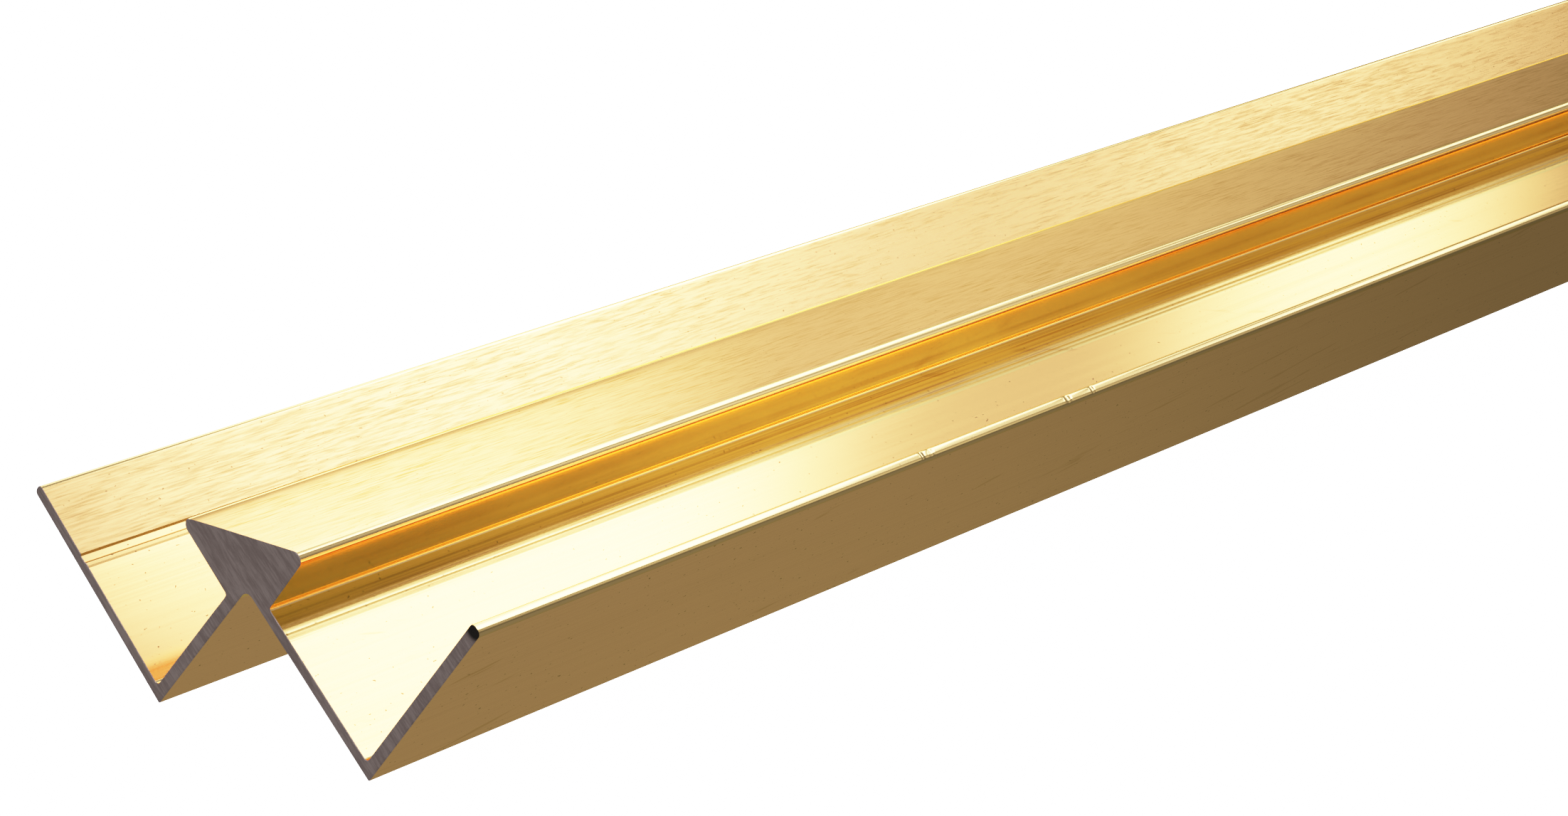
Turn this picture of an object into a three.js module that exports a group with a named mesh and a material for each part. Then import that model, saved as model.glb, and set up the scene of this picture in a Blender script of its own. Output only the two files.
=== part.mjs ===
// A double-channel corner trim: one straight aluminium extrusion with a W-shaped section.
//
// Seen from its end, two V-shaped channels stand side by side on their sharp lower edges. The two
// inner legs lean together and carry a solid triangular head with a flat top. Each flank of the
// head faces the outer leg across from it, so that each V is an open channel for the edge of a
// 10 mm panel. The outer legs lie against two walls that meet at 90 degrees, and toe in by 2
// degrees each, so that their tips press on the walls.
//
// Frame, in millimetres: X across the section, Y along the extrusion, Z up. The origin is at the
// middle of the length, between the two lower edges, on the surface that they stand on.

import * as THREE from 'three';

// Driving dimensions
const LENGTH = 300; // a sample length; the section is the same all along
const HALF_PITCH = 9.9; // from the middle of the section to each lower edge
const WALL = 0.85; // thickness of all four legs
const LEG = 15.9; // outer leg, from its lower edge to its tip along the outer face
const OUTER_RISE = 47; // degrees from the horizontal
const INNER_RISE = 44.3;
const PAD_LENGTH = 5.25; // brushed pad on the left outer leg, from its tip to the groove at its foot
const GROOVE_DEPTH = 0.1;
const GROOVE_STEP = 0.12; // the groove's steep side, next to the pad
const GROOVE_RAMP = 0.63; // and the slope that brings its floor back up to the leg's face
const HEAD_WIDTH = 12.1; // flat top of the head, measured to its sharp corners
const HEAD_HEIGHT = 13.1; // from the lower edges to the flat top
const FLANK_RISE = 46; // degrees from the horizontal

// Radii of the section's corners
const TIP_RADIUS = 0.35;
const HEAD_RADIUS = 0.5;
const NOTCH_RADIUS = 0.7; // roof of the notch under the head
const CHANNEL_RADIUS = 0.3; // floor of each channel, where its two legs meet
const NECK_RADIUS = 0.2; // where an inner leg meets the flank
const ARC_STEPS = 6;

const GOLD = 0xd8b45c;

const point = (x, z) => new THREE.Vector2(x, z);

/** A step of one millimetre that rises so many degrees from +X. */
const heading = (degrees) => point(1, 0).rotateAround(point(0, 0), THREE.MathUtils.degToRad(degrees));

/** A face of the section: where it starts, and which way it runs. */
class Face {
  constructor(start, degrees) {
    this.start = start;
    this.degrees = degrees;
  }

  /** The point so far along the face, and so far to its left. */
  at(along, left = 0) {
    const across = heading(this.degrees + 90);
    return this.start.clone().addScaledVector(heading(this.degrees), along).addScaledVector(across, left);
  }

  /** The face moved so far to its left. */
  offset(left) {
    return new Face(this.at(0, left), this.degrees);
  }

  /** Where this face's line crosses another's. */
  meets(other) {
    const ahead = heading(this.degrees);
    const along = heading(other.degrees);
    const gap = other.start.clone().sub(this.start);
    return this.at(gap.cross(along) / ahead.cross(along));
  }
}

/** The corners of the right half of the section, from its lower edge up to the head's corner. */
function halfCorners(groove = []) {
  const lowerEdge = point(HALF_PITCH, 0);
  const headCorner = point(HEAD_WIDTH / 2, HEAD_HEIGHT);
  const outerFace = new Face(lowerEdge, OUTER_RISE);
  const innerLegTop = new Face(lowerEdge, 180 - INNER_RISE).offset(-WALL);
  const flank = new Face(headCorner, FLANK_RISE);
  return [
    { at: lowerEdge, radius: 0 },
    { at: outerFace.at(LEG), radius: TIP_RADIUS },
    { at: outerFace.at(LEG, WALL), radius: TIP_RADIUS },
    ...groove.map(([down, deep]) => ({ at: outerFace.at(LEG - down, WALL - deep), radius: 0 })),
    { at: outerFace.offset(WALL).meets(innerLegTop), radius: CHANNEL_RADIUS },
    { at: innerLegTop.meets(flank), radius: NECK_RADIUS },
    { at: headCorner, radius: HEAD_RADIUS },
  ];
}

/** The whole section's corners, counter-clockwise from the roof of the notch. */
function sectionCorners() {
  const leftUnderside = new Face(point(-HALF_PITCH, 0), INNER_RISE);
  const middle = new Face(point(0, 0), 90);
  const notchRoof = { at: leftUnderside.meets(middle), radius: NOTCH_RADIUS };
  const groove = [
    [PAD_LENGTH, 0],
    [PAD_LENGTH + GROOVE_STEP, GROOVE_DEPTH],
    [PAD_LENGTH + GROOVE_STEP + GROOVE_RAMP, 0],
  ];
  const right = halfCorners();
  const left = halfCorners(groove)
    .map(({ at, radius }) => ({ at: point(-at.x, at.y), radius }))
    .reverse();
  return [notchRoof, ...right, ...left];
}

/** The outline through the corners, each one rounded by an arc of its own radius. */
function roundedOutline(corners) {
  return corners.flatMap(({ at, radius }, i) => {
    if (radius === 0) {
      return [at];
    }
    const back = corners.at(i - 1).at.clone().sub(at).normalize();
    const ahead = corners.at((i + 1) % corners.length).at.clone().sub(at).normalize();
    const half = Math.acos(back.dot(ahead)) / 2;
    const inward = back.clone().add(ahead).normalize();
    const centre = at.clone().addScaledVector(inward, radius / Math.sin(half));
    const start = at.clone().addScaledVector(back, radius / Math.tan(half));
    const sweep = (Math.PI - 2 * half) * Math.sign(ahead.cross(back));
    return Array.from({ length: ARC_STEPS + 1 }, (_, step) =>
      start.clone().rotateAround(centre, (sweep * step) / ARC_STEPS),
    );
  });
}

/** The extrusion, standing on its lower edges and centred on its length. */
function cornerTrim() {
  const section = new THREE.Shape(roundedOutline(sectionCorners()));
  const geometry = new THREE.ExtrudeGeometry(section, { depth: LENGTH, bevelEnabled: false });
  const material = new THREE.MeshStandardMaterial({ color: GOLD, roughness: 0.3, metalness: 1 });
  const mesh = new THREE.Mesh(geometry, material);
  mesh.name = 'corner_trim';
  mesh.rotation.x = Math.PI / 2; // the section's own y becomes Z, and its depth runs along -Y
  mesh.position.y = LENGTH / 2;
  return mesh;
}

const trim = new THREE.Group();
trim.add(cornerTrim());

export default trim;
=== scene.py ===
import math
from random import Random

import bmesh
import bpy
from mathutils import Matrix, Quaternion, Vector, noise


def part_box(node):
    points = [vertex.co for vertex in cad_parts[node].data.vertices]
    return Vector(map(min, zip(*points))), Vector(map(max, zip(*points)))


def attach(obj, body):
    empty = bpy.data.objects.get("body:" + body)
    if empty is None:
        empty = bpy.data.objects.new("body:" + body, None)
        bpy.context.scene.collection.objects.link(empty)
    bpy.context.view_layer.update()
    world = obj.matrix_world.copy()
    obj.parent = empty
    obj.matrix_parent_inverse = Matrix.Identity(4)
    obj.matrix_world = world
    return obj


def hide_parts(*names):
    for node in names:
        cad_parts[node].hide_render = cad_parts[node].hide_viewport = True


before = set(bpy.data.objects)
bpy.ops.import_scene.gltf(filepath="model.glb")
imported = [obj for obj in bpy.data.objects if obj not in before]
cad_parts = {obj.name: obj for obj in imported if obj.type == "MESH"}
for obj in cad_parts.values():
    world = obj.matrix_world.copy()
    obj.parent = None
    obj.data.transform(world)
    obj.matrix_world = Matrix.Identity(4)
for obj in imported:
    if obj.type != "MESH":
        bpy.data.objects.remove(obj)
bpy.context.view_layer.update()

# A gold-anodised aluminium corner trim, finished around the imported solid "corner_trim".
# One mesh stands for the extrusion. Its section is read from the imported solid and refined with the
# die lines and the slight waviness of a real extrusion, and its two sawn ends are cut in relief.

NODE = "corner_trim"
MM = 0.001
LOW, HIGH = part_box(NODE)

# Places on the section, in metres. X is measured from its middle.
OUTER_LEG = 9.3 * MM  # beyond this X, the upper faces belong to the outer legs
NECK = 2.0 * MM  # X of the neck, where an inner leg meets the head's flank
NECK_HEIGHT = 8.9 * MM
HEAD_HALF = 6.3 * MM
HEAD_TOP = 0.35 * MM  # the top of the head and its rounded corners lie within this of the highest Z
LEG_FOOT = 9.278 * MM  # X of an outer leg's inner face at its foot
LEG_RUN = 0.682  # how far that face leans out for each unit up the leg
PAD_FOOT = 10.64 * MM  # up each outer leg, where the brushed pad starts
GROOVE_FOOT = 9.9 * MM  # and where the groove below it ends, on the left leg
STEP_REACH = 0.2 * MM  # the step between the two lies within this of the pad's foot
# how much deeper than the solid's the groove is cut, as (up the leg, depth): two lips, a level floor
GROOVE_CUT = [(9.90, 0.0), (9.95, 0.020), (10.03, 0.018), (10.09, 0.055), (10.60, 0.0)]

# Refinement of the outline
EDGE_RADIUS = 0.09 * MM  # the lower edges, which the solid leaves sharp
EDGE_STEPS = 6
ARC_CHORD = 0.35 * MM  # faces shorter than this belong to a rounded corner or the groove's step
GROOVE_CHORD = 0.7 * MM  # and the groove's floor is the next longest
FINE_STEP = 0.15 * MM  # spacing of the outline's points where there are die lines
PLAIN_STEP = 0.75 * MM
DIE_BAND = 2.5 * MM  # die lines on each inner leg, down from the neck
RAMP_BAND = 0.75 * MM  # die lines on the left outer leg, down from the groove
DIE_LINE = 0.040 * MM  # the deepest, next to the neck; most are far finer
FURROW = (0.25, 1.0)  # every other point is a ridge, and a furrow lies between
WAVE = 0.006 * MM  # a slow waviness on every straight face
WAVE_RATE = 190.0  # in periods per metre
ARC_STEP = 0.055 * MM  # points this close to a neighbour belong to an arc, and stay unworn
CROWN = 0.10 * MM  # how far the top of the head falls away to its left edge
CROWN_START = -2.5 * MM
CROWN_RUN = 3.5 * MM

# Ends
CUT_CHAMFER = 0.05 * MM
SAW_PITCH = 0.30 * MM
SAW_DEPTH = 0.016 * MM
SAW_RISE = math.radians(135.7)  # the blade's marks run parallel to the right inner leg
SAW_RIDGE = 22 * MM  # how long a mark runs
SAW_BROAD = 30 * MM
SAW_SEEDS = (0.0, 40.0)  # for the near and the far end
SHARP = math.radians(28)  # edges that turn more than this stay crisp


# ---------------------------------------------------------------------------------------------
# The section's outline


def solid_outline():
    """The section's corners in order, as (x, z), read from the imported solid's near end."""
    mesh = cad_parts[NODE].data
    edges = set()
    for face in mesh.polygons:
        points = [mesh.vertices[i].co for i in face.vertices]
        if all(abs(p.y - LOW.y) < 1e-6 for p in points):
            keys = [(round(p.x, 7), round(p.z, 7)) for p in points]
            edges.update(zip(keys, keys[1:] + keys[:1]))
    follows = {a: b for a, b in edges if (b, a) not in edges}
    start = max(follows)
    ring = [start]
    while follows[ring[-1]] != start:
        ring.append(follows[ring[-1]])
    return [Vector(p) for p in ring]


def turn(before, at, after):
    """How far the outline turns at a point, in radians, positive to the left."""
    return -(at - before).angle_signed(after - at, 0.0)


def eased(ring):
    """The outline with its sharp lower edges rounded."""
    out = []
    for i, at in enumerate(ring):
        before, after = ring[i - 1], ring[(i + 1) % len(ring)]
        bend = turn(before, at, after)
        if at.y > 1e-6 or abs(bend) < 1.0:
            out.append(at)
            continue
        reach = EDGE_RADIUS * math.tan(abs(bend) / 2)
        first = at + (before - at).normalized() * reach
        last = at + (after - at).normalized() * reach
        centre = at + ((first + last) / 2 - at).normalized() * EDGE_RADIUS / math.cos(bend / 2)
        for k in range(EDGE_STEPS + 1):
            arm = (first - centre).slerp(last - centre, k / EDGE_STEPS)
            out.append(centre + arm * EDGE_RADIUS)
    return out


def rounder(ring):
    """The outline with each short chord of an arc split in two, its new point on the arc."""
    out = []
    n = len(ring)
    bends = [turn(ring[i - 1], ring[i], ring[(i + 1) % n]) for i in range(n)]
    for i, at in enumerate(ring):
        after = ring[(i + 1) % n]
        out.append(at)
        chord = after - at
        bend = max((bends[i], bends[(i + 1) % n]), key=abs)
        if chord.length < ARC_CHORD and 0.02 < abs(bend) < 0.7:
            outward = Vector((chord.y, -chord.x)).normalized()
            out.append((at + after) / 2 + outward * chord.length / 2 * math.tan(bend / 4))
    return out


def up_leg(x):
    """How far up an outer leg's inner face a point lies, from its distance to the middle."""
    return (abs(x) - LEG_FOOT) / LEG_RUN


def groove_cut(x):
    """How much deeper than the solid's the groove is at a point."""
    place = up_leg(x) / MM
    for (a, deep_a), (b, deep_b) in zip(GROOVE_CUT, GROOVE_CUT[1:]):
        if a <= place < b:
            return (deep_a + (deep_b - deep_a) * (place - a) / (b - a)) * MM
    return 0.0


def zone_of(a, b):
    """What finish a straight face has between two of its points, and whether it has die lines."""
    middle = (a + b) / 2
    along = (b - a).normalized()
    faces_up = -along.x > 0.5
    if faces_up and middle.y > HIGH.z - HEAD_TOP:
        return "head", False
    if faces_up and abs(middle.x) > OUTER_LEG:
        place = up_leg(middle.x)
        if place > PAD_FOOT:
            return "pad", False
        return "bright", middle.x < 0.0 and place > GROOVE_FOOT - RAMP_BAND
    if faces_up:
        lined = (abs(middle.x) - NECK) / abs(along.x) < DIE_BAND
        return ("lined" if lined else "bright"), lined
    if middle.y > NECK_HEIGHT and abs(middle.x) < HEAD_HALF:
        return "flank", False
    return "under", False


def arc_finish(at, after):
    """The finish of a short face: the groove's step, the outward side of a tip, or a corner."""
    if abs(up_leg(at.x) - PAD_FOOT) < STEP_REACH:
        return "flank"
    faces_out = (at.x - after.x) / (after - at).length < 0.6
    return "tip" if abs(at.x) > OUTER_LEG and faces_out else "edge"


def groove_shares(at, after):
    """The corners of the groove's cut, as shares of the way along the solid's own groove floor."""
    start, end = up_leg(at.x), up_leg(after.x)
    shares = [(place * MM - start) / (end - start) for place, _ in GROOVE_CUT]
    return sorted(share for share in shares if 0.01 < share < 0.99)


def refined(ring):
    """The outline with its straight faces split, as (point, finish of the face after it, die lines)."""
    out = []
    for i, at in enumerate(ring):
        after = ring[(i + 1) % len(ring)]
        chord = after - at
        if chord.length < ARC_CHORD:
            out.append((at, arc_finish(at, after), False))
            continue
        if at.x < -OUTER_LEG and chord.length < GROOVE_CHORD:
            shares = [0.0, *groove_shares(at, after)]
            out.extend((at + chord * share, "bright", True) for share in shares)
            continue
        place = 0.0
        while place < chord.length - 0.3 * FINE_STEP:
            here = at + chord * (place / chord.length)
            ahead = at + chord * min(1.0, (place + FINE_STEP) / chord.length)
            finish, lined = zone_of(here, ahead)
            out.append((here, finish, lined))
            place += FINE_STEP if lined else PLAIN_STEP
    return out


def die_wear(x, finish):
    """How deep the die lines are at a point, as a share of the deepest."""
    if finish != "lined":
        return 0.3
    return max(0.25, 1.0 - (abs(x) - NECK) / DIE_BAND)


def textured(points):
    """Presses the groove's cut, the die lines, the crown and the waviness into the outline."""
    chance = Random(7)
    out = []
    n = len(points)
    for i, (at, finish, lined) in enumerate(points):
        before, after = points[i - 1][0], points[(i + 1) % n][0]
        along = (after - before).normalized()
        inward = Vector((-along.y, along.x))
        depth = 0.0
        straight = min((at - before).length, (after - at).length) > ARC_STEP
        if at.x < -OUTER_LEG and inward.y < -0.5:
            depth += groove_cut(at.x)
        if lined and straight and up_leg(at.x) < GROOVE_FOOT:
            depth += DIE_LINE * die_wear(at.x, finish) * chance.random() ** 2 * FURROW[i % 2]
        if at.y > HIGH.z - 0.02 * MM:
            depth += CROWN * max(0.0, (CROWN_START - at.x) / CROWN_RUN) ** 2
        if straight:
            depth += WAVE * (0.5 + 0.5 * noise.noise(Vector((at.x, at.y, 0.0)) * WAVE_RATE))
        out.append((at + inward * depth, finish, lined))
    return out


# ---------------------------------------------------------------------------------------------
# The extrusion's mesh

# Small knocks on the right leg's tip: how far along from the near end, depth, half length
NICKS = [
    (51.5 * MM, 0.07 * MM, 0.35 * MM),
    (54.0 * MM, 0.05 * MM, 0.25 * MM),
    (38.0 * MM, 0.04 * MM, 0.3 * MM),
    (37.2 * MM, 0.05 * MM, 0.2 * MM),
    (131.0 * MM, 0.06 * MM, 0.4 * MM),
    (212.0 * MM, 0.07 * MM, 0.35 * MM),
]
NICK_REACH = 0.55 * MM  # from the middle of the tip
NICK_LENGTH = 1.4  # half lengths to each side, beyond which a nick has died out
NICK_PRESS = (0.68, 0.73)  # which way it presses the tip in, as shares of its depth along -X and -Z
TIP = Vector((20.45 * MM, 12.0 * MM))
STATION_STEP = 10 * MM
END_STEP = 0.6 * MM  # a first station close to each cut


def stations():
    """Where along Y the section is repeated: at the cuts, at each nick and every 10 mm between."""
    length = HIGH.y - LOW.y
    places = {CUT_CHAMFER, length - CUT_CHAMFER, END_STEP, length - END_STEP}
    places.update(k * STATION_STEP for k in range(1, round(length / STATION_STEP)))
    for centre, _, half in NICKS:
        places.update(centre + half * k / 3 for k in range(-4, 5))
    return [LOW.y + p for p in sorted(places)]


def nicked(x, y, z):
    """The point pressed in where a nick falls on the right leg's tip."""
    away = (Vector((x, z)) - TIP).length
    if away > NICK_REACH:
        return x, y, z
    for centre, depth, half in NICKS:
        across = (y - LOW.y - centre) / half
        if abs(across) < NICK_LENGTH:
            press = depth * math.exp(-2.5 * across * across) * (1 - away / NICK_REACH)
            x -= press * NICK_PRESS[0]
            z -= press * NICK_PRESS[1]
    return x, y, z


def saw_relief(x, z, seed):
    """How deep the sawn end lies at a point: ridges parallel to the blade's travel."""
    across = x * math.sin(SAW_RISE) - z * math.cos(SAW_RISE)
    along = x * math.cos(SAW_RISE) + z * math.sin(SAW_RISE)
    ridge = noise.noise(Vector((across / SAW_PITCH, seed, along / SAW_RIDGE)))
    broad = noise.noise(Vector((across / (5 * SAW_PITCH), seed + 9.0, along / SAW_BROAD)))
    return SAW_DEPTH * (0.5 + 0.35 * ridge + 0.35 * broad)


def sawn_strips(outline, y_cut):
    """The sawn face as a mesh of its own, split along the blade's travel."""
    bm = bmesh.new()
    cut = [bm.faces.new([bm.verts.new((x, y_cut, z)) for x, z in outline])]
    normal = Vector((math.sin(SAW_RISE), 0.0, -math.cos(SAW_RISE)))
    ends = [normal.dot(v.co) for v in bm.verts]
    step = SAW_PITCH / 2
    count = int((max(ends) - min(ends)) / step)
    for k in range(1, count + 1):
        edges = {e for f in cut for e in f.edges}
        verts = {v for f in cut for v in f.verts}
        bmesh.ops.bisect_plane(
            bm,
            geom=[*cut, *edges, *verts],
            dist=1e-8,
            plane_co=normal * (min(ends) + k * step),
            plane_no=normal,
        )
        level = min(ends) + (k + 0.01) * step
        cut = [f for f in bm.faces if max(normal.dot(v.co) for v in f.verts) > level]
        if not cut:
            break
    return bm


def cap(bm, ring, outward, seed):
    """Closes an end: a fine chamfer round its edge, then the sawn face in relief."""
    y_cut = ring[0].co.y + outward * CUT_CHAMFER
    n = len(ring)
    inner = []
    for i, vert in enumerate(ring):
        before, after = ring[i - 1].co, ring[(i + 1) % n].co
        along = (after - before).normalized()
        inward = Vector((-along.z, 0.0, along.x))
        spot = vert.co + inward * CUT_CHAMFER * 0.8
        inner.append(bm.verts.new((spot.x, y_cut, spot.z)))
    for i in range(n):
        j = (i + 1) % n
        quad = [ring[j], inner[j], inner[i], ring[i]]
        face = bm.faces.new(quad if outward < 0 else quad[::-1])
        face.material_index = SLOTS.index("cut")
        face.smooth = True
    strips = sawn_strips([(v.co.x, v.co.z) for v in inner], y_cut)
    copies = {v: bm.verts.new(v.co) for v in strips.verts}
    for face in strips.faces:
        corners = [copies[v] for v in face.verts]
        made = bm.faces.new(corners if outward < 0 else corners[::-1])
        made.material_index = SLOTS.index("cut")
        made.smooth = True
    strips.free()
    bmesh.ops.remove_doubles(bm, verts=[*inner, *copies.values()], dist=1e-7)
    for vert in bm.verts:
        if abs(vert.co.y - y_cut) < 1e-7:
            vert.co.y = y_cut - outward * saw_relief(vert.co.x, vert.co.z, seed)


# The mesh's material slots: a face's finish is its place in this list
SLOTS = ["pad", "head", "bright", "lined", "flank", "edge", "tip", "under", "cut"]


def extrusion_mesh():
    """The refined section repeated along Y, with both sawn ends. Die-lined faces stay flat."""
    outline = textured(refined(rounder(eased(solid_outline()))))
    bm = bmesh.new()
    rings = []
    for y in stations():
        rings.append([bm.verts.new(nicked(p.x, y, p.y)) for p, _, _ in outline])
    n = len(outline)
    for near, far in zip(rings, rings[1:]):
        for i in range(n):
            j = (i + 1) % n
            face = bm.faces.new((near[i], far[i], far[j], near[j]))
            face.material_index = SLOTS.index(outline[i][1])
            face.smooth = not outline[i][2]
    cap(bm, rings[0], -1, SAW_SEEDS[0])
    cap(bm, rings[-1], 1, SAW_SEEDS[1])
    bm.normal_update()
    smooth = [face.smooth for face in bm.faces]
    mesh = bpy.data.meshes.new("corner_trim_finished")
    bm.to_mesh(mesh)
    bm.free()
    mesh.set_sharp_from_angle(angle=SHARP)
    mesh.polygons.foreach_set("use_smooth", smooth)  # the call above loses the flat faces
    return mesh


# ---------------------------------------------------------------------------------------------
# Materials


class Tree:
    """A node tree being built: add() returns the node, and the other calls return its output."""

    def __init__(self, tree):
        self.tree = tree
        tree.nodes.clear()

    def add(self, kind, settings=None, **inputs):
        """Adds a node. An input goes by its label, with _ for a space, or by number: i0, i1, ..."""
        made = self.tree.nodes.new(kind)
        for name, value in (settings or {}).items():
            setattr(made, name, value)
        for name, value in inputs.items():
            key = int(name[1:]) if name[0] == "i" and name[1:].isdigit() else name.replace("_", " ")
            self.plug(made.inputs[key], value)
        return made

    def plug(self, socket, value):
        if isinstance(value, bpy.types.NodeSocket):
            self.tree.links.new(value, socket)
        else:
            socket.default_value = value

    def math(self, operation, a, b=0.0, clamp=False):
        made = self.add("ShaderNodeMath", {"operation": operation, "use_clamp": clamp}, i0=a, i1=b)
        return made.outputs[0]

    def dot(self, vector, constant):
        made = self.add("ShaderNodeVectorMath", {"operation": "DOT_PRODUCT"}, i0=vector, i1=constant)
        return made.outputs["Value"]

    def smooth(self, value, start, end, low=0.0, high=1.0):
        settings = {"interpolation_type": "SMOOTHSTEP"}
        made = self.add("ShaderNodeMapRange", settings, i0=value, i1=start, i2=end, i3=low, i4=high)
        return made.outputs[0]

    def noise(self, vector, scale, detail=2.0, roughness=0.5):
        made = self.add(
            "ShaderNodeTexNoise", None, Vector=vector, Scale=scale, Detail=detail, Roughness=roughness
        )
        return made.outputs["Fac"]

    def stretched(self, vector, scale):
        made = self.add("ShaderNodeVectorMath", {"operation": "MULTIPLY"}, i0=vector, i1=scale)
        return made.outputs[0]

    def mix(self, factor, a, b):
        made = self.add("ShaderNodeMix", {"data_type": "RGBA"})
        self.plug(made.inputs[0], factor)
        self.plug(made.inputs[6], a)
        self.plug(made.inputs[7], b)
        return made.outputs[2]

    def bump(self, height, strength, distance, normal=None):
        made = self.add("ShaderNodeBump", None, Strength=strength, Distance=distance, Height=height)
        if normal is not None:
            self.plug(made.inputs["Normal"], normal)
        return made.outputs[0]


# Gold as each kind of face shows it
GOLD_PAD = (0.93, 0.56, 0.24, 1.0)
GOLD_HEAD = (0.92, 0.585, 0.33, 1.0)
GOLD_BRIGHT = (0.92, 0.54, 0.21, 1.0)
GOLD_LINED = (0.85, 0.61, 0.24, 1.0)
GOLD_FLANK = (0.93, 0.70, 0.27, 1.0)
GOLD_CORNER = (0.95, 0.68, 0.30, 1.0)
GOLD_TIP = (0.72, 0.50, 0.20, 1.0)
GOLD_PLAIN = (0.92, 0.60, 0.335, 1.0)
GOLD_BROWN = (0.50, 0.275, 0.10, 1.0)
GOLD_EDGE = (1.0, 0.80, 0.42, 1.0)
PIT = (0.09, 0.05, 0.025, 1.0)


def metal(name, base, roughness, streak, speck, brushed=False):
    """Gold anodising. Brushed faces have short lengthwise scratches, the others long die lines.

    The noises' scales are in periods per metre: across the section, along it, and up.
    """
    material = bpy.data.materials.new(name)
    material.use_nodes = True
    t = Tree(material.node_tree)
    place = t.add("ShaderNodeTexCoord").outputs["Object"]
    across, along = (9000.0, 500.0) if brushed else (9000.0, 14.0)
    fine = t.noise(t.stretched(place, (across, along, across)), 1.0, 2.0, 0.6)
    across, along = (4800.0, 210.0) if brushed else (4200.0, 8.0)
    coarse = t.noise(t.stretched(place, (across, along, across)), 1.0, 3.0, 0.65)
    cloud = t.noise(t.stretched(place, (420.0, 120.0, 420.0)), 1.0, 2.0, 0.5)
    pits = t.noise(t.stretched(place, (5200.0, 3600.0, 5200.0)), 1.0, 1.0, 0.4)
    slant = t.add(
        "ShaderNodeVectorRotate", {"rotation_type": "Z_AXIS"}, Vector=place, Angle=math.radians(11.0)
    ).outputs[0]
    scratch = t.noise(t.stretched(slant, (1500.0, 110.0, 300.0)), 1.0, 2.0, 0.6)
    lines = t.math("ADD", t.math("MULTIPLY", fine, 0.5), t.math("MULTIPLY", coarse, 0.5))
    tone = t.smooth(lines, 0.44, 0.66, 0.0, streak)
    tone = t.math("MULTIPLY", tone, t.smooth(cloud, 0.35, 0.62, 0.45, 1.0))
    tone = t.math("ADD", tone, t.smooth(scratch, 0.67, 0.74, 0.0, 0.5 * speck))
    pit = t.smooth(pits, 0.745, 0.765, 0.0, speck)
    colour = t.mix(t.math("MINIMUM", tone, 1.0), base, GOLD_BROWN)
    colour = t.mix(pit, colour, PIT)
    rough = t.smooth(lines, 0.35, 0.65, roughness * 0.85, roughness * 1.2)
    relief = t.bump(lines, 0.2 if brushed else 0.1, 0.002 * MM)
    round_y = t.add("ShaderNodeTangent", {"direction_type": "RADIAL", "axis": "Y"}).outputs[0]
    shader = t.add(
        "ShaderNodeBsdfPrincipled",
        None,
        Base_Color=colour,
        Metallic=1.0,
        Roughness=rough,
        Anisotropic=0.6,
        Specular_Tint=GOLD_EDGE,
        Normal=relief,
        Tangent=round_y,
    )
    t.add("ShaderNodeOutputMaterial", None, Surface=shader.outputs[0])
    return material


ALUMINIUM_DARK = (0.29, 0.22, 0.205, 1.0)
ALUMINIUM_PALE = (0.42, 0.335, 0.315, 1.0)
# The sawn end darkens to this black round a spot near the right tip.
TIP_CUT_BLACK = (0.012, 0.008, 0.006, 1.0)  # the black spot on the right tip's cut
TIP_CUT_BLACK_PLACE = (20.3 * MM, LOW.y, 11.9 * MM)


def cut_metal():
    """Bare sawn aluminium: grey with a warm cast, streaked along the blade's marks."""
    material = bpy.data.materials.new("sawn_aluminium")
    material.use_nodes = True
    t = Tree(material.node_tree)
    place = t.add("ShaderNodeTexCoord").outputs["Object"]
    turned = t.add(
        "ShaderNodeVectorRotate", {"rotation_type": "Y_AXIS"}, Vector=place, Angle=SAW_RISE
    ).outputs[0]
    marks = t.noise(t.stretched(turned, (800.0, 1.0, 6000.0)), 1.0, 3.0, 0.65)
    broad = t.noise(t.stretched(turned, (200.0, 1.0, 1400.0)), 1.0, 2.0, 0.5)
    grain = t.noise(place, 9000.0, 2.0, 0.6)
    tone = t.math("ADD", t.math("MULTIPLY", marks, 0.6), t.math("MULTIPLY", broad, 0.4))
    colour = t.mix(t.smooth(tone, 0.38, 0.62), ALUMINIUM_DARK, ALUMINIUM_PALE)
    # darkens the sawn end to black round a spot near the right tip
    away = t.add(
        "ShaderNodeVectorMath", {"operation": "DISTANCE"}, i0=place, i1=TIP_CUT_BLACK_PLACE
    ).outputs["Value"]
    colour = t.mix(t.smooth(away, 0.55 * MM, 0.95 * MM), TIP_CUT_BLACK, colour)
    relief = t.bump(t.math("ADD", marks, t.math("MULTIPLY", grain, 0.4)), 0.5, 0.02 * MM)
    shader = t.add(
        "ShaderNodeBsdfPrincipled",
        None,
        Base_Color=colour,
        Metallic=0.75,
        Roughness=t.smooth(grain, 0.3, 0.7, 0.42, 0.58),
        Normal=relief,
    )
    t.add("ShaderNodeOutputMaterial", None, Surface=shader.outputs[0])
    return material


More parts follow.
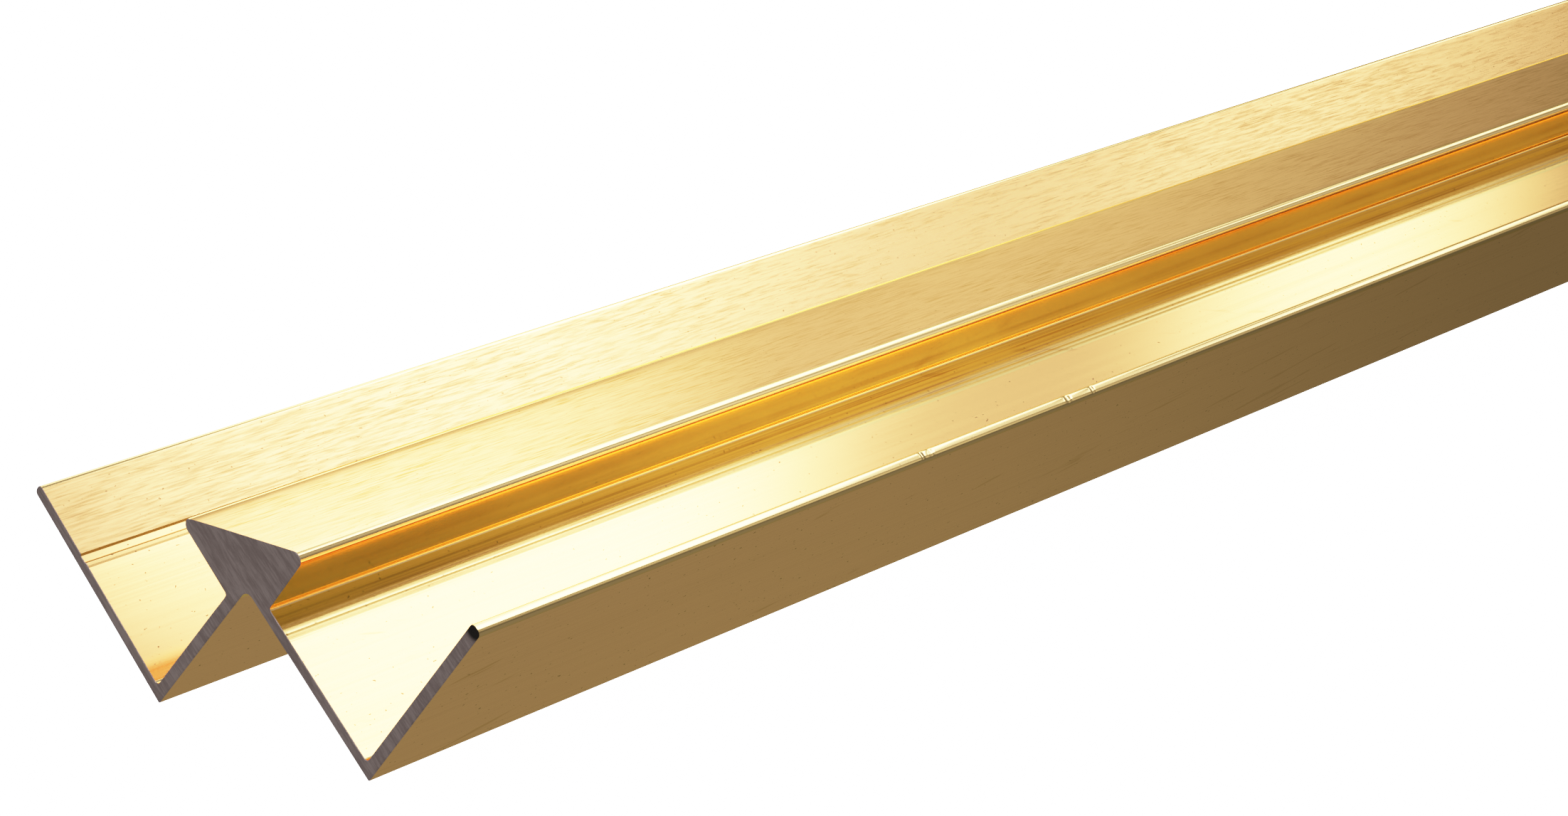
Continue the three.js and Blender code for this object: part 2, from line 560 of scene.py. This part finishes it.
def finished_trim():
    """The finished mesh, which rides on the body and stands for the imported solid."""
    trim = bpy.data.objects.new("corner_trim_finished", extrusion_mesh())
    bpy.context.scene.collection.objects.link(trim)
    finishes = {
        "pad": metal("gold_pad", GOLD_PAD, roughness=0.24, streak=0.75, speck=0.6, brushed=True),
        "head": metal("gold_head", GOLD_HEAD, roughness=0.17, streak=0.85, speck=0.6, brushed=True),
        "bright": metal("gold_bright", GOLD_BRIGHT, roughness=0.11, streak=0.05, speck=0.8),
        "lined": metal("gold_die_lines", GOLD_LINED, roughness=0.13, streak=0.9, speck=0.5),
        "flank": metal("gold_flank", GOLD_FLANK, roughness=0.12, streak=0.05, speck=0.5),
        "edge": metal("gold_corner", GOLD_CORNER, roughness=0.14, streak=0.05, speck=0.3),
        "tip": metal("gold_tip", GOLD_TIP, roughness=0.14, streak=0.05, speck=0.3),
        "under": metal("gold_plain", GOLD_PLAIN, roughness=0.17, streak=0.16, speck=0.8),
        "cut": cut_metal(),
    }
    for name in SLOTS:
        trim.data.materials.append(finishes[name])
    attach(trim, "root")
    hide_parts(NODE)
    return trim


# ---------------------------------------------------------------------------------------------
# The studio

CAMERA_AZIMUTH = 44.12
CAMERA_ELEVATION = 17.49
CAMERA_ROLL = -2.665
CAMERA_PLACE = Vector((164.46, -123.4, 83.33)) * MM  # from the middle of the near end's base
LENS = 84.1


def direction(azimuth, elevation):
    """The unit vector so many degrees right of +Y and above the horizon."""
    a, e = math.radians(azimuth), math.radians(elevation)
    return Vector((math.sin(a) * math.cos(e), math.cos(a) * math.cos(e), math.sin(e)))


def add_camera():
    """The photo's camera, from a fit to the section's corners and the long edges."""
    data = bpy.data.cameras.new("camera")
    data.lens = LENS
    data.sensor_width = 36.0
    data.clip_start, data.clip_end = 0.01, 50.0
    camera = bpy.data.objects.new("camera", data)
    camera.location = Vector((0.0, LOW.y, LOW.z)) + CAMERA_PLACE
    look = direction(-CAMERA_AZIMUTH, -CAMERA_ELEVATION).to_track_quat("-Z", "Y")
    camera.rotation_mode = "QUATERNION"
    camera.rotation_quaternion = look @ Quaternion((0.0, 0.0, 1.0), math.radians(CAMERA_ROLL))
    bpy.context.scene.collection.objects.link(camera)
    bpy.context.scene.camera = camera


# Soft boxes, each as azimuth and elevation of its middle, half width and half height as tangents,
# softness of its edge, and strength. The far half of the studio repeats them, turned by 180 degrees.
SOFT_BOXES = [
    # the near half of both channels
    (8.0, 48.2, 0.33, 0.09, 0.035, 4.3),
    # the middle of the brushed band on the left leg
    (22.8, 40.4, 0.12, 0.12, 0.12, 0.78),
    # a glint along the rounded corners and the tips
    (-30.0, 42.0, 0.25, 0.12, 0.05, 2.6),
    # the far half of both channels
    (5.5, 34.6, 0.245, 0.035, 0.035, 3.6),
    # the top of the head next to the sawn end, and its slow fall further back
    (-50.7, 24.0, 0.075, 0.155, 0.05, 2.9),
    (-42.0, 16.0, 0.10, 0.40, 0.14, 0.80),
    # the head's flank, which sees them by way of the channel
    (40.0, 16.0, 0.17, 0.25, 0.08, 0.33),
    (43.5, 17.5, 0.04, 0.25, 0.06, 0.60),
]
FILL = 0.32
LOW_FILL = 0.4  # how much of the fill is left near the horizon
OVERHEAD = 1.5  # a wide soft box straight above
WHITE_GLOW = 4.0  # the backdrop's, which shows as full white
FLOOR_GLOW = 3.2  # the floor's, on top of what lights it
FLOOR_NEAR, FLOOR_FAR = 0.33, 0.17  # what the metal sees of the floor, near and far


def studio_light():
    """A dim fill, an overhead light and the soft boxes, all in the world's background."""
    world = bpy.data.worlds.new("studio")
    world.use_nodes = True
    bpy.context.scene.world = world
    t = Tree(world.node_tree)
    seen = t.add("ShaderNodeTexCoord").outputs["Generated"]
    parts = t.add("ShaderNodeSeparateXYZ", None, Vector=seen)
    side = t.math("SIGN", parts.outputs["Y"])
    folded = t.add(
        "ShaderNodeCombineXYZ",
        None,
        X=t.math("MULTIPLY", parts.outputs["X"], side),
        Y=t.math("ABSOLUTE", parts.outputs["Y"]),
        Z=parts.outputs["Z"],
    ).outputs[0]
    total = t.smooth(parts.outputs["Z"], 0.06, 0.20, FILL * LOW_FILL, FILL)
    total = t.math("ADD", total, t.smooth(parts.outputs["Z"], 0.88, 0.97, 0.0, OVERHEAD))
    for azimuth, elevation, half_width, half_height, soft, strength in SOFT_BOXES:
        middle = direction(azimuth, elevation)
        right = direction(azimuth + 90.0, 0.0)
        up = direction(azimuth, elevation + 90.0)
        ahead = t.dot(folded, middle)
        across = t.math("ABSOLUTE", t.math("DIVIDE", t.dot(folded, right), ahead))
        above = t.math("ABSOLUTE", t.math("DIVIDE", t.dot(folded, up), ahead))
        glow = t.smooth(across, half_width + soft, half_width - soft, 0.0, strength)
        glow = t.math("MULTIPLY", glow, t.smooth(above, half_height + soft, half_height - soft))
        glow = t.math("MULTIPLY", glow, t.math("GREATER_THAN", ahead, 0.05))
        total = t.math("ADD", total, glow)
    light = t.add("ShaderNodeBackground", None, Color=(1.0, 1.0, 1.0, 1.0), Strength=total)
    t.add("ShaderNodeOutputWorld", None, Surface=light.outputs[0])


def stage_plane(name, size, height, material):
    """A square of the studio, level at a height, which is no part of the object."""
    mesh = bpy.data.meshes.new(name)
    h = size / 2
    corners = [(-h, -h, height), (h, -h, height), (h, h, height), (-h, h, height)]
    mesh.from_pydata(corners, [], [(0, 1, 2, 3)])
    mesh.materials.append(material)
    plane = bpy.data.objects.new(name, mesh)
    bpy.context.scene.collection.objects.link(plane)
    return plane


def glowing(name, strength_of):
    """A surface that only gives off light, as strong as strength_of makes it in the node tree."""
    material = bpy.data.materials.new(name)
    material.use_nodes = True
    t = Tree(material.node_tree)
    shader = t.add("ShaderNodeEmission", None, Color=(1.0, 1.0, 1.0, 1.0), Strength=strength_of(t))
    t.add("ShaderNodeOutputMaterial", None, Surface=shader.outputs[0])
    return material


def add_floor():
    """A pale floor for the camera, and what the metal sees of it: greyer, and darker further back."""
    pale = bpy.data.materials.new("pale_floor")
    pale.use_nodes = True
    t = Tree(pale.node_tree)
    paper = t.add("ShaderNodeBsdfDiffuse", None, Color=(0.8, 0.8, 0.8, 1.0))
    glow = t.add("ShaderNodeEmission", None, Color=(1.0, 1.0, 1.0, 1.0), Strength=FLOOR_GLOW)
    both = t.add("ShaderNodeAddShader", None, i0=paper.outputs[0], i1=glow.outputs[0])
    t.add("ShaderNodeOutputMaterial", None, Surface=both.outputs[0])
    floor = stage_plane("floor", 40.0, LOW.z - 0.05 * MM, pale)
    floor.visible_glossy = False
    floor.visible_diffuse = False

    def shade(t):
        place = t.add("ShaderNodeTexCoord").outputs["Object"]
        back = t.add("ShaderNodeSeparateXYZ", None, Vector=place).outputs["Y"]
        return t.smooth(back, LOW.y + 20 * MM, LOW.y + 140 * MM, FLOOR_NEAR, FLOOR_FAR)

    grey = stage_plane("floor_as_reflected", 40.0, LOW.z - 0.1 * MM, glowing("floor_tone", shade))
    grey.visible_camera = False
    grey.visible_shadow = False


def add_backdrop():
    """A white sky for the camera alone, above the floor."""
    mesh = bpy.data.meshes.new("backdrop")
    bm = bmesh.new()
    bmesh.ops.create_icosphere(bm, subdivisions=3, radius=12.0)
    bm.to_mesh(mesh)
    bm.free()
    mesh.materials.append(glowing("white_sky", lambda t: WHITE_GLOW))
    backdrop = bpy.data.objects.new("backdrop", mesh)
    bpy.context.scene.collection.objects.link(backdrop)
    backdrop.visible_glossy = False
    backdrop.visible_diffuse = False
    backdrop.visible_shadow = False


WHITE = 4.0  # the scene brightness that shows as full white
SHOULDER = [(0.25, 0.25), (0.5, 0.5), (0.9, 0.76), (1.3, 0.885), (1.8, 0.95), (2.6, 0.985)]


def film_response():
    """A soft shoulder, as camera film and sensors have: bright gold turns cream before it clips."""
    view = bpy.context.scene.view_settings
    view.view_transform = "Standard"
    view.use_curve_mapping = True
    view.curve_mapping.white_level = (WHITE, WHITE, WHITE)
    shoulder = view.curve_mapping.curves[3]
    for bright, shown in SHOULDER:
        shoulder.points.new(bright / WHITE, shown)
    view.curve_mapping.update()


add_camera()
studio_light()
add_floor()
add_backdrop()
film_response()
finished_trim()
